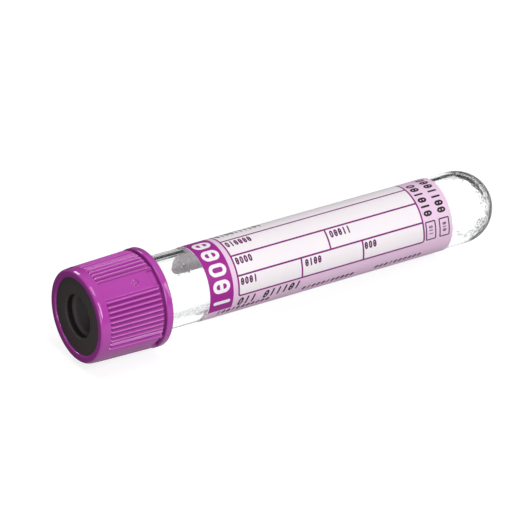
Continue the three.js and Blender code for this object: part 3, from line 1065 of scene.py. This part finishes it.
def printed_film(surface, box, numbers):
    """Satin film with its print laid on in order, each ink as a mask over what lies below."""
    material, nodes, shader = new_material("label_film", Specular_IOR_Level=0.35)
    print_place = nodes.add("ShaderNodeUVMap", uv_map="print_mm").outputs[0]
    axes = nodes.split(print_place)
    along, around = axes["X"], axes["Y"]
    upright = nodes.combine(around, along)

    def boxed(left, right, lower, upper, corner=0.03):
        sides = {"Left": left, "Right": right, "Lower": lower, "Upper": upper}
        return nodes.use(box, Place=print_place, Corner=corner, **sides)["Ink"]

    def outlined(left, right, lower, upper, corner, line):
        outer = boxed(left, right, lower, upper, corner)
        hole = boxed(left + line, right - line, lower + line, upper - line, max(corner - line, 0.02))
        return nodes.minus(outer, hole)

    def numbered(place, left, lower, upper, pitch, stroke, count, seed, slant=0.0):
        sizes = {"Left": left, "Lower": lower, "Upper": upper, "Pitch": pitch, "Stroke": stroke}
        sizes |= {"Width": 0.76 * pitch, "Slant": slant, "Count": count, "Seed": seed}
        return nodes.use(numbers, Place=place, **sizes)["Ink"]

    def join(masks):
        total = masks[0]
        for other in masks[1:]:
            total = nodes.larger(total, other)
        return total

    form_top = FORM_ROWS * ROW
    form = boxed(FORM_LEFT, FORM_RIGHT, 0, form_top, 0.5)
    half = LINE / 2
    lines = [outlined(FORM_LEFT - half, FORM_RIGHT + half, -half, form_top + half, 0.55, LINE)]
    for row in range(1, FORM_ROWS):
        lines.append(boxed(FORM_LEFT, FORM_RIGHT, row * ROW - half, row * ROW + half))
    for divider, row in DIVIDERS:
        lines.append(boxed(divider - half, divider + half, row * ROW, (row + 1) * ROW))

    row_height = nodes.math("MODULO", nodes.plus(around, 4 * ROW), ROW)
    row_number = nodes.math("FLOOR", nodes.math("DIVIDE", around, ROW))
    in_row = nodes.combine(along, row_height)
    seed = nodes.plus(row_number, 9.0)
    caption_ink = numbered(in_row, 0.08, ROW - 1.73, ROW - 0.38, CAPTION_PITCH, 0.27, 60, seed)
    captions = []
    for first, row, count in CAPTIONS:
        left = 0.08 + CAPTION_PITCH * first
        captions.append(boxed(left, left + CAPTION_PITCH * count, row * ROW + 1, (row + 1) * ROW))
    purple = [nodes.times(caption_ink, join(captions))]
    for left, count in SMALL_WORDS:
        purple.append(numbered(print_place, left, -3.45, -2.4, 0.95, 0.31, count, left, 0.25))

    left, count = HEADING
    black = [numbered(print_place, left, form_top - 1.75, form_top - 0.35, 0.9, 0.26, count, 7.0)]
    for left, count in BOLD_WORDS:
        black.append(numbered(print_place, left, -2.25, -0.5, 1.24, 0.36, count, left, 0.25))
    for left, count in CODE_COLUMNS:
        black.append(numbered(upright, 4.15, left, left + 1.7, 1.25, 0.36, count, left))
        black.append(outlined(left - 0.15, left + 1.9, 0.07, 3.45, 0.25, 0.22))
        black.append(numbered(upright, 0.95, left + 0.5, left + 1.25, 0.58, 0.15, 3, left + 1))

    band = boxed(-1, BAND_WIDTH, BAND_LOWER, 40)
    band_marks = numbered(upright, -1.75, 0.7, 3.95, 2.85, 0.64, 5, 1.0)

    colour = nodes.mix(form, linear(LILAC), linear(FORM_WHITE))
    inks = (
        (join(lines), LINE_PURPLE),
        (join(purple), CAPTION_PURPLE),
        (band, BAND_PURPLE),
        (band_marks, MARK_WHITE),
        (join(black), PRINT_BLACK),
    )
    for ink, ink_colour in inks:
        colour = nodes.mix(ink, colour, linear(ink_colour))
    place = object_place(nodes)
    film = nodes.use(surface, Place=place, Mottle_scale=120.0, Grain_scale=2600.0)
    shade = nodes.span(film["Mottle"], 0.97, 1.03)
    shaded = nodes.vector("MULTIPLY", colour, nodes.combine(shade, shade, shade))
    nodes.feed(shader.inputs["Base Color"], shaded)
    nodes.feed(shader.inputs["Roughness"], nodes.span(film["Grain"], 0.36, 0.5))
    add_bump(nodes, shader, film["Grain"], 0.2, 0.02)
    return material


# ---- the pieces

surface = surface_group()
printed_box = box_group()
printed_numbers = numbers_group(printed_box)

build_tube(clear_polyester(surface))
build_cap(purple_polyethylene(surface))
build_ring(black_plastic(surface))
build_stopper(stopper_rubber(surface))
build_label(printed_film(surface, printed_box, printed_numbers), label_adhesive_side(surface))
build_droplets(dried_droplets(surface))

# ---- floor, light and camera

FLOOR_RADIUS = 0.18
FLOOR_LIFT = 0.8  # whiteness that the floor shows the camera without being lit
GLASS_LIFT = 1.2  # the same through clear walls
GLOSS_LIFT = 0.22  # the same in reflections
SHEET_BACK = -0.002  # frame Y, behind which gloss sees the table darker
SHEET_SIDE = 0.036  # frame X, from which on the table is pale behind the object as well
SHEET_END = (0.046, 0.054)  # frame Y, over which the pale sheet ends, as seen through clear walls


def floor_looks(nodes):
    """The floor's colour, and how white it is without light to the camera, clear walls and gloss.

    Behind the object it is darker to all but the camera.
    """
    rays = nodes.add("ShaderNodeLightPath").outputs
    place = nodes.split(object_place(nodes))
    in_front = nodes.math("LESS_THAN", place["Y"], SHEET_BACK)
    aside = nodes.math("GREATER_THAN", place["X"], SHEET_SIDE)
    in_front = nodes.larger(in_front, aside)
    on_sheet = nodes.minus(1.0, nodes.step_up(place["Y"], *SHEET_END))
    on_sheet = nodes.larger(on_sheet, aside)
    glass = nodes.times(rays["Is Transmission Ray"], nodes.times(on_sheet, GLASS_LIFT))
    gloss = nodes.times(nodes.times(rays["Is Glossy Ray"], GLOSS_LIFT), in_front)
    camera = nodes.times(rays["Is Camera Ray"], FLOOR_LIFT)
    lift = nodes.larger(camera, nodes.larger(glass, gloss))
    pale = nodes.larger(rays["Is Camera Ray"], in_front)
    return nodes.mix(pale, linear((70, 70, 70)), linear((160, 160, 160))), lift


def build_floor():
    """A pale floor disc that shows the object's shadow."""
    steps = np.radians(np.linspace(0, 360, 96, endpoint=False))
    across = FLOOR_RADIUS * np.cos(steps)
    ahead = FLOOR_RADIUS * np.sin(steps)
    points = np.stack([across, ahead, 0 * steps - 0.00002], axis=-1)
    mesh = bpy.data.meshes.new("floor")
    mesh.from_pydata(points.tolist(), [], [list(range(len(points)))])
    material, nodes, shader = new_material(
        "white_floor", Roughness=0.9, Specular_IOR_Level=0.0, Emission_Color=(1, 1, 1, 1)
    )
    colour, lift = floor_looks(nodes)
    nodes.feed(shader.inputs["Base Color"], colour)
    nodes.feed(shader.inputs["Emission Strength"], lift)
    mesh.materials.append(material)
    floor = bpy.data.objects.new("floor", mesh)
    bpy.context.scene.collection.objects.link(floor)


def build_world():
    """A soft studio: white to the camera, and else bright above, pale at the horizon, dim between."""
    world = bpy.data.worlds.new("studio")
    bpy.context.scene.world = world
    world.use_nodes = True
    nodes = Nodes(world.node_tree)
    direction = nodes.add("ShaderNodeTexCoord").outputs["Generated"]
    ramp = nodes.add("ShaderNodeValToRGB", {"Fac": nodes.split(direction)["Z"]})
    stops = ramp.color_ramp.elements
    stops[0].position, stops[0].color = 0.0, (0.3, 0.3, 0.3, 1)
    stops[1].position, stops[1].color = 0.02, (0.04, 0.04, 0.04, 1)
    for position, level in ((0.55, 0.05), (0.8, 0.3), (1.0, 0.4)):
        stop = stops.new(position)
        stop.color = (level, level, level, 1)
    camera_ray = nodes.add("ShaderNodeLightPath").outputs["Is Camera Ray"]
    colour = nodes.mix(camera_ray, ramp.outputs["Color"], (1, 1, 1, 1))
    background = world.node_tree.nodes["Background"]
    nodes.feed(background.inputs["Color"], colour)
    nodes.feed(background.inputs["Strength"], 1.0)


LAMP_DISTANCE = 1.6
LAMPS = (  # azimuth, elevation, width, height, radiance
    ("front_softbox", 2, 32, 15, 34, 9.0),
    ("top_softbox", 0, 80, 28, 24, 3.2),
    ("right_softbox", 40, 27, 12, 32, 3.5),
    ("left_softbox", -42, 14, 26, 24, 3.8),
    ("back_softbox", 180, 36, 26, 16, 7.0),
)


def add_lamp(name, azimuth, elevation, width, height, radiance):
    """A soft box that faces the object, with its width and height as seen from it, in degrees.

    Azimuth 0 stands in front, at -Y, and 90 at +X. Its power is what gives the wanted radiance:
    pi times its area times the radiance.
    """
    lamp = bpy.data.lights.new(name, "AREA")
    lamp.shape = "RECTANGLE"
    lamp.size = 2 * LAMP_DISTANCE * math.tan(math.radians(width) / 2)
    lamp.size_y = 2 * LAMP_DISTANCE * math.tan(math.radians(height) / 2)
    lamp.energy = math.pi * lamp.size * lamp.size_y * radiance
    turn, rise = math.radians(azimuth), math.radians(elevation)
    level = math.cos(rise)
    direction = Vector((math.sin(turn) * level, -math.cos(turn) * level, math.sin(rise)))
    piece = bpy.data.objects.new(name, lamp)
    piece.location = direction * LAMP_DISTANCE
    piece.rotation_mode = "QUATERNION"
    piece.rotation_quaternion = direction.to_track_quat("Z", "Y")
    bpy.context.scene.collection.objects.link(piece)


VIEW_AZIMUTH = -33.05
VIEW_ELEVATION = 30.1
LENS = 475.5
FROM_RING = (-0.03039, -0.00835, 1.13496)  # of the ring's face from the camera: right, up, ahead


def build_camera():
    """A camera at the given azimuth and elevation, placed from the middle of the ring's face."""
    turn, rise = math.radians(VIEW_AZIMUTH), math.radians(VIEW_ELEVATION)
    right = np.array((math.cos(turn), math.sin(turn), 0.0))
    level = math.cos(rise)
    ahead = np.array((-math.sin(turn) * level, math.cos(turn) * level, -math.sin(rise)))
    above = np.cross(right, ahead)
    camera = bpy.data.objects.new("camera", bpy.data.cameras.new("camera"))
    camera.data.lens = LENS
    camera.data.clip_start = 0.05
    camera.data.clip_end = 10.0
    place_of = ring_face - FROM_RING[0] * right - FROM_RING[1] * above - FROM_RING[2] * ahead
    turning = np.stack([right, above, -ahead, place_of], axis=-1)
    camera.matrix_world = Matrix([*turning.tolist(), (0, 0, 0, 1)])
    bpy.context.scene.collection.objects.link(camera)
    bpy.context.scene.camera = camera


build_floor()
build_world()
for lamp_name, *measures in LAMPS:
    add_lamp(lamp_name, *measures)
build_camera()
bpy.context.scene.view_settings.view_transform = "Standard"
